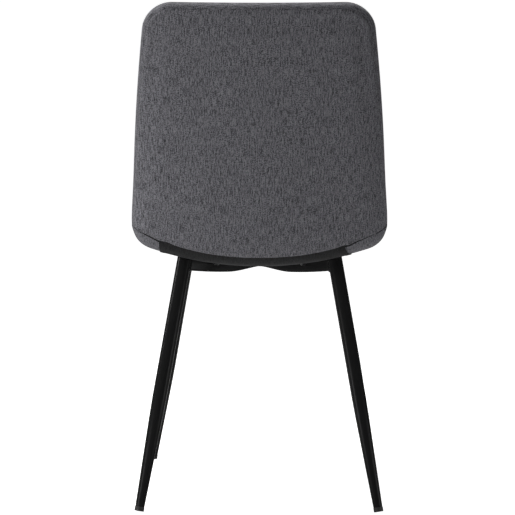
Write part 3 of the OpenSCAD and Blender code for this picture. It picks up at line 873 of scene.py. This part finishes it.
# %% Dust cover
def dust_cover():
    """Sides at +173 mm and -145 to -160 mm. Where the sheet is tucked under the hem it is cut wider, so its
    side runs out along the hem. Height = band height - a ripple of low waves; the folded sides are thicker.
    The flat size is measured along one row and one column near the middle, the area over all quads."""
    tucked = np.concatenate([[-6, -3, 0], np.arange(1.5, 9.6, 0.8)]) * MM
    front_s = S_END - 46 * MM
    past = np.concatenate([tucked, np.linspace(12 * MM, front_s - S_HEM, 105)])
    out = np.clip((9.0 * MM - past) / (5.6 * MM), 0, 1)
    left = 0.173 - 0.010 * smooth((past - S_SEAT + S_HEM) / 0.15) + 0.042 * out
    right = -0.1445 - 0.016 * smooth((past + 0.02) / 0.10) - 0.052 * out
    u = np.linspace(0, 1, 130)
    x = right[:, None] + (left - right)[:, None] * u
    share = (past / past[-1])[:, None]
    start = hem_at(x)
    s = np.where(past[:, None] < 10 * MM, start + past[:, None], start + (front_s - start) * share)
    edge = np.minimum(x - right[:, None], left[:, None] - x)
    ripple = 0.35 * np.sin(x * 160 + 1.3) * np.sin(s * 120 + 0.6) + 0.25 * np.sin(s * 210 + x * 90)
    fold = 0.6 * smooth((9 * MM - edge) / (2 * MM))
    sunk = crevice(x, s, inset(x, s))
    off = band_height(inset(x, s), s) + sunk - (0.5 + 0.35 * (1 + ripple) + fold) * MM
    points = place(x, s, off)
    pattern = np.stack([x, s], -1)
    piece = make_piece("dust_cover_cloth", [cloth(points, pattern, 0.5 * MM)])
    row, column = 60, 65
    wide = float(np.linalg.norm(np.diff(points[row], axis=0), axis=1).sum())
    long = float(np.linalg.norm(np.diff(points[:, column], axis=0), axis=1).sum())
    quads = np.cross(points[1:, 1:] - points[:-1, :-1], points[1:, :-1] - points[:-1, 1:]) / 2
    return piece, wide, long, float(np.linalg.norm(quads, axis=-1).sum())


lining_piece, lining_w, lining_l, lining_area = dust_cover()
dress(lining_piece, lining)
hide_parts("dust_cover")
print("dust cover", round(lining_w, 3), "x", round(lining_l, 3), "m, area", round(lining_area, 4))

# %% [markdown]
# ## Steel frame
# Each leg is a tube that tapers to its foot, so it is a profile turned about an axis. The cross bars are
# rounded rectangles carried along a dished path. Weld beads are thin rings of metal with the ripple that a
# welder leaves. Plain primitives could stand in for all of them, but they would miss the slight waist where
# the taper starts, the slanting cut at the top and the line where a bar meets a round tube.

# %% Frame sizes
LEG_R, FOOT_R, TAPER = 12.5 * MM, 8 * MM, 185 * MM
REF_Z = 440 * MM
FOOT = np.array([207.8, 215.0, 0.0]) * MM
HIP = np.array([129.5, 112.0, 440.0]) * MM
FRAME_TOP = UNDERSIDE_Z - 2.0 * MM
JOINT_Z = UNDERSIDE_Z - 5.4 * MM
TOP_X = FOOT[0] + (HIP[0] - FOOT[0]) * (UNDERSIDE_Z + 12 * MM) / REF_Z
TOP_SLOPE = 2 * DISH_BEND * TOP_X
LEG_TOP_Z = FRAME_TOP + DISH_BEND * TOP_X ** 2 - 0.5 * MM
BAR_W, BAR_DEPTH, BAR_MID = 14 * MM, 22.3 * MM, 15.6 * MM
CORNERS = {"rear_left": (1, 1), "rear_right": (-1, 1), "front_left": (1, -1), "front_right": (-1, -1)}


def leg_axis(sx, sy):
    """Foot point and unit direction of a leg, from its foot to its hip."""
    side = np.array([sx, sy, 1])
    foot, hip = FOOT * side, HIP * side
    along = (hip - foot) / np.linalg.norm(hip - foot)
    return foot, along


def turned(profile, origin, along):
    """A profile of (distance, radius) turned about a line: origin + a d + r (cos t p + sin t q)."""
    p = np.cross(along, [0.0, 0.0, 1.0])
    p /= np.linalg.norm(p)
    q = np.cross(along, p)
    t = np.linspace(0, 2 * math.pi, 64, endpoint=False)
    ring = np.cos(t)[:, None] * p + np.sin(t)[:, None] * q
    d, r = profile[:, 0], profile[:, 1]
    points = origin + d[:, None, None] * along + r[:, None, None] * ring
    pattern = np.stack(np.broadcast_arrays(t * LEG_R, d[:, None]), -1)
    return points, pattern


# %% Legs and foot caps
def leg(name, sx, sy):
    """Tube wall: outer profile up, inner profile down, closed at both ends. The top is cut along the slope
    of the dished underside: points above that plane slide back down along the leg."""
    foot, along = leg_axis(sx, sy)
    start, wall = 8.8 * MM, 1.5 * MM
    past_cut = LEG_TOP_Z / along[2] + 9 * MM
    taper = np.linspace(start + 0.5 * MM, TAPER, 24)
    radius = FOOT_R + (LEG_R - FOOT_R) * (taper - start) / (TAPER - start)
    radius = radius - 0.25 * MM * bell(taper, TAPER, 14 * MM)
    outer = np.stack([taper, radius], -1)
    shank = np.stack([np.linspace(TAPER + 15 * MM, past_cut, 10), np.full(10, LEG_R)], -1)
    lip = np.array([[start, FOOT_R - wall],
                    [start, FOOT_R - 0.35 * MM],
                    [start + 0.12 * MM, FOOT_R - 0.1 * MM]])
    inner = np.array([[past_cut, LEG_R - wall], [TAPER, LEG_R - wall]])
    points, pattern = turned(np.concatenate([lip, outer, shank, inner]), foot, along)
    above = points[..., 2] - LEG_TOP_Z - TOP_SLOPE * (sx * points[..., 0] - TOP_X)
    back = np.maximum(above, 0) / (along[2] - TOP_SLOPE * sx * along[0])
    points = points - back[..., None] * along
    tube = surface(points, pattern, round_rows=True, round_cols=True)
    piece = make_piece(name + "_tube", [tube], sharp=40)
    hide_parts(name)
    dress(piece, powder)


def foot_cap(name, sx, sy):
    """A cup with rounded edges whose foot is trimmed level: points below the floor are raised to it. Each
    rounding is a quarter circle: r (1 - sin a) along the axis, r (1 - cos a) across it."""
    foot, along = leg_axis(sx, sy)
    start, rim, end = 0.8 * MM, 8.8 * MM, 20.8 * MM
    lip_r, plug_r, pole_r = FOOT_R + 0.4 * MM, FOOT_R - 1.7 * MM, 0.01 * MM
    arc = np.radians(np.linspace(0, 90, 7))

    def rounding(at, r, way):
        return np.stack([at + way * r * (1 - np.sin(arc)), lip_r - r * (1 - np.cos(arc))], -1)
    low = rounding(start, 0.9 * MM, 1)[::-1]
    high = rounding(rim, 0.4 * MM, -1)
    plug = np.array([[rim, plug_r], [end, plug_r], [end, pole_r]])
    points, pattern = turned(np.concatenate([[[start, pole_r]], low, high, plug]), foot, along)
    points[..., 2] = np.maximum(points[..., 2], 0)
    piece = make_piece(name + "_cup", [surface(points, pattern, round_cols=True)], sharp=40)
    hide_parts(name)
    dress(piece, rubbery)


for corner, (sx, sy) in CORNERS.items():
    leg("leg_" + corner, sx, sy)
    foot_cap("foot_cap_" + corner, sx, sy)

# %% Cross bars
joint = FOOT + (HIP - FOOT) * JOINT_Z / REF_Z
ARM_LEN = float(np.hypot(joint[0], joint[1]))
ARM_TURN = math.atan2(joint[1], joint[0])
ARM_DISH = DISH_BEND * math.cos(ARM_TURN) ** 2


def bar_frame(t):
    """Top height and depth of a bar at distance t from the crossing."""
    deeper = smooth(np.abs(t) / (78 * MM))
    return FRAME_TOP + ARM_DISH * t * t, BAR_MID + (BAR_DEPTH - BAR_MID) * deeper


def rounded_section():
    """Corners of a rounded rectangle, going round once: how far across, on the top edge or not, and how far
    from that edge."""
    r = 3.4 * MM
    a = np.radians(np.linspace(0, 90, 6))
    across, up = BAR_W / 2 - r + r * np.cos(a), r - r * np.sin(a)
    across = np.concatenate([across, -across[::-1], -across, across[::-1]])
    offset = np.concatenate([-up, -up[::-1], up, up[::-1]])
    return across, np.arange(len(a) * 4) < len(a) * 2, offset


def bar_points(t, angle, lift=0.0):
    """Section carried along the dished arm, then turned about the upright axis."""
    top, depth = bar_frame(t)
    across, at_top, offset = rounded_section()
    z = top[:, None] + offset + np.where(at_top, 0.0, (lift - depth)[:, None])
    x, y = np.broadcast_arrays(t[:, None], across)
    c, s = math.cos(angle), math.sin(angle)
    return np.stack([x * c - y * s, x * s + y * c, z], -1)


def capped(points, pattern):
    """Closes a tube of rings by shrinking its first and last ring to a thousandth about their middles."""
    def shrunk(ring):
        middle = ring.mean(1, keepdims=True)
        return middle + (ring - middle) * 0.001
    wide = np.concatenate([pattern[:1], pattern, pattern[-1:]])
    return surface(np.concatenate([shrunk(points[:1]), points, shrunk(points[-1:])]), wide, round_cols=True)


def cross_bar(name, angle, lift):
    """The bar ends at the leg tubes' skins, so that only the weld bead joins them to the eye."""
    reach = ARM_LEN - LEG_R * 0.6
    t = np.linspace(-reach, reach, 121)
    points = bar_points(t, angle, lift)
    pattern = np.stack(np.broadcast_arrays(np.linspace(0, 0.07, points.shape[1]), t[:, None]), -1)
    piece = make_piece(name + "_tube", [capped(points, pattern)])
    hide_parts(name)
    dress(piece, powder)


cross_bar("upper_cross_bar", ARM_TURN, 0.3 * MM)
cross_bar("lower_cross_bar", -ARM_TURN, 0.0)


# %% Weld beads
RIPPLE, RIPPLE_PITCH = 0.18, 2.6 * MM


def bead(path, radius):
    """A round section carried along a closed path: radius (1 + ripple |sin(pi run / pitch)|), as weld pools
    swell."""
    along = np.roll(path, -1, 0) - np.roll(path, 1, 0)
    along /= np.linalg.norm(along, axis=1, keepdims=True)
    middle = path.mean(0)
    out = path - middle
    out -= (out * along).sum(1, keepdims=True) * along
    out /= np.linalg.norm(out, axis=1, keepdims=True)
    side = np.cross(along, out)
    run = np.concatenate([[0], np.cumsum(np.linalg.norm(np.diff(path, axis=0), axis=1))])
    swell = radius * (1 + RIPPLE * np.abs(np.sin(math.pi * run / RIPPLE_PITCH)))
    t = np.linspace(0, 2 * math.pi, 10, endpoint=False)
    ring = np.cos(t)[:, None] * out[:, None] + np.sin(t)[:, None] * side[:, None]
    points = path[:, None] + swell[:, None, None] * ring
    pattern = np.stack(np.broadcast_arrays(t * radius, run[:, None]), -1)
    return surface(points, pattern, round_rows=True, round_cols=True)


def resample(path, n):
    """The same closed path with n points at even distances."""
    closed = np.concatenate([path, path[:1]])
    run = np.concatenate([[0], np.cumsum(np.linalg.norm(np.diff(closed, axis=0), axis=1))])
    at = np.linspace(0, run[-1], n, endpoint=False)
    return np.stack([np.interp(at, run, closed[:, k]) for k in range(3)], -1)


def leg_weld(sx, sy):
    """The path is where the bar's outline meets the leg's round skin: each point slides along the bar until
    its distance to the leg's axis is the leg's radius, which is the root of a quadratic."""
    foot, along = leg_axis(sx, sy)
    angle = math.atan2(sy * math.sin(ARM_TURN), sx * math.cos(ARM_TURN))
    ring = bar_points(np.array([ARM_LEN - LEG_R]), angle)[0]
    way = np.array([math.cos(angle), math.sin(angle), 0.0])
    rel = ring - foot
    rel = rel - (rel @ along)[:, None] * along
    flat = way - (way @ along) * along
    a, b, c = flat @ flat, 2 * rel @ flat, (rel * rel).sum(1) - LEG_R ** 2
    slide = (-b - np.sqrt(np.maximum(b * b - 4 * a * c, 0))) / (2 * a)
    return bead(resample(ring + slide[:, None] * way, 120), 2.1 * MM)


welds = dress(make_piece("leg_weld_beads", [leg_weld(sx, sy) for sx, sy in CORNERS.values()], sharp=0),
              powder)
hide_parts("leg_welds")


def crossing_weld():
    """Two short beads that fill the angles where the bars cross, on the underside."""
    z = FRAME_TOP - BAR_MID + 1.0 * MM
    parts = []
    t = np.linspace(0, 2 * math.pi, 48, endpoint=False)
    for side in (-1, 1):
        x = side * (11.5 * MM + 2.2 * MM * np.cos(t))
        path = np.stack([x, 3.4 * MM * np.sin(t), np.full_like(t, z)], -1)
        parts.append(bead(path, 1.5 * MM))
    return parts


cross_weld = dress(make_piece("crossing_weld_beads", crossing_weld(), sharp=0), powder)
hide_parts("cross_bar_weld")

# %% [markdown]
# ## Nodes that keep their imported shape
# The board, the hem strip, the staples, the tabs, the discs and the fixings have the right shape already.
# They could be modelled again, but little of them shows, so they only get their finish.

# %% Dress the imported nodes
FINISH = {"shell_board": plywood, "hem_strip": card, "dust_cover_staples": zinc, "tee_nuts": zinc,
          "mounting_tabs": powder, "leg_top_discs": powder, "frame_bolts": bolt_steel,
          "flat_washers": bolt_steel}
for node_name, finish in FINISH.items():
    dress(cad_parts[node_name], finish)
print("packed nodes dressed", len(FINISH))

# %% [markdown]
# ## Floor and light
# The floor is a pale light table, as used for white backgrounds: it glows for the camera only. Soft lamps
# hang above and stand low on both sides, brighter on the left, so the cloth falls off to the right and the
# corners that face down are lifted. A narrow lamp on the left draws the thin line of light along the leg. One
# large lamp would be simpler, but it leaves the cloth flat and the black legs without an edge.

# %% Floor and light
FLOOR_R, FLOOR_GLOW = 150.0, 1.0
SKY_SHOWN, SKY_GIVEN = 1.0, 0.03


def make_floor():
    """A disc as rings of points whose radii double outwards; the glow is seen by the camera only."""
    turn = np.linspace(0, 2 * math.pi, 96, endpoint=False)
    radii = FLOOR_R * 0.5 ** np.arange(9, -1, -1)
    rings = radii[:, None, None] * np.stack([np.cos(turn), np.sin(turn), 0 * turn], -1)
    points, faces, _ = surface(rings, np.zeros((*rings.shape[:2], 2)), round_cols=True)
    mesh = bpy.data.meshes.new("floor")
    mesh.from_pydata(points.tolist(), [], faces.tolist() + [list(range(len(turn)))])
    floor = bpy.data.objects.new("floor", mesh)
    bpy.context.scene.collection.objects.link(floor)
    made, tree, principled = bare_material("pale_floor")
    principled.inputs["Base Color"].default_value = (0.82, 0.82, 0.82, 1)
    principled.inputs["Roughness"].default_value = 0.9
    principled.inputs["Specular IOR Level"].default_value = 0.1
    principled.inputs["Emission Strength"].default_value = FLOOR_GLOW
    seen = add(tree, "ShaderNodeLightPath").outputs["Is Camera Ray"]
    tree.links.new(seen, principled.inputs["Emission Color"])
    mesh.materials.append(made)


def make_sky():
    """Given + (shown - given) for what the camera sees: white behind, almost no light for the chair."""
    world = bpy.data.worlds.new("sky")
    world.use_nodes = True
    tree = world.node_tree
    seen = add(tree, "ShaderNodeLightPath").outputs["Is Camera Ray"]
    level = math_node(tree, "ADD", math_node(tree, "MULTIPLY", seen, SKY_SHOWN - SKY_GIVEN), SKY_GIVEN)
    tree.links.new(level, tree.nodes["Background"].inputs["Color"])
    bpy.context.scene.world = world


def soft_lamp(name, place_at, aim_at, size, power):
    """A square area lamp that looks at a point."""
    data = bpy.data.lights.new(name, "AREA")
    data.shape, data.size, data.energy = "SQUARE", size, power
    lamp = bpy.data.objects.new(name, data)
    bpy.context.scene.collection.objects.link(lamp)
    lamp.location = place_at
    lamp.rotation_euler = (Vector(aim_at) - Vector(place_at)).to_track_quat("-Z", "Y").to_euler()


make_floor()
make_sky()
bpy.context.scene.view_settings.view_transform = "Standard"

# %% Lamps: place, aim, side of the square in metres, watts
LAMPS = {"overhead": ((0.3, -0.5, 2.4), (0, 0, 0.6), 1.0, 42),
         "high_rear": ((0.9, 1.2, 1.7), (0, 0.1, 0.6), 0.8, 12.8),
         "low_left": ((1.0, 0.8, 0.12), (0.1, 0.12, 0.45), 0.5, 6.6),
         "low_right": ((-1.0, 0.5, 0.12), (-0.15, 0.12, 0.45), 0.5, 3.6),
         "left_strip": ((2.2, 0.0, 1.0), (0.1, 0.15, 0.5), 0.35, 9)}
for lamp_name, setting in LAMPS.items():
    soft_lamp(lamp_name, *setting)
print("lamps", len(LAMPS))
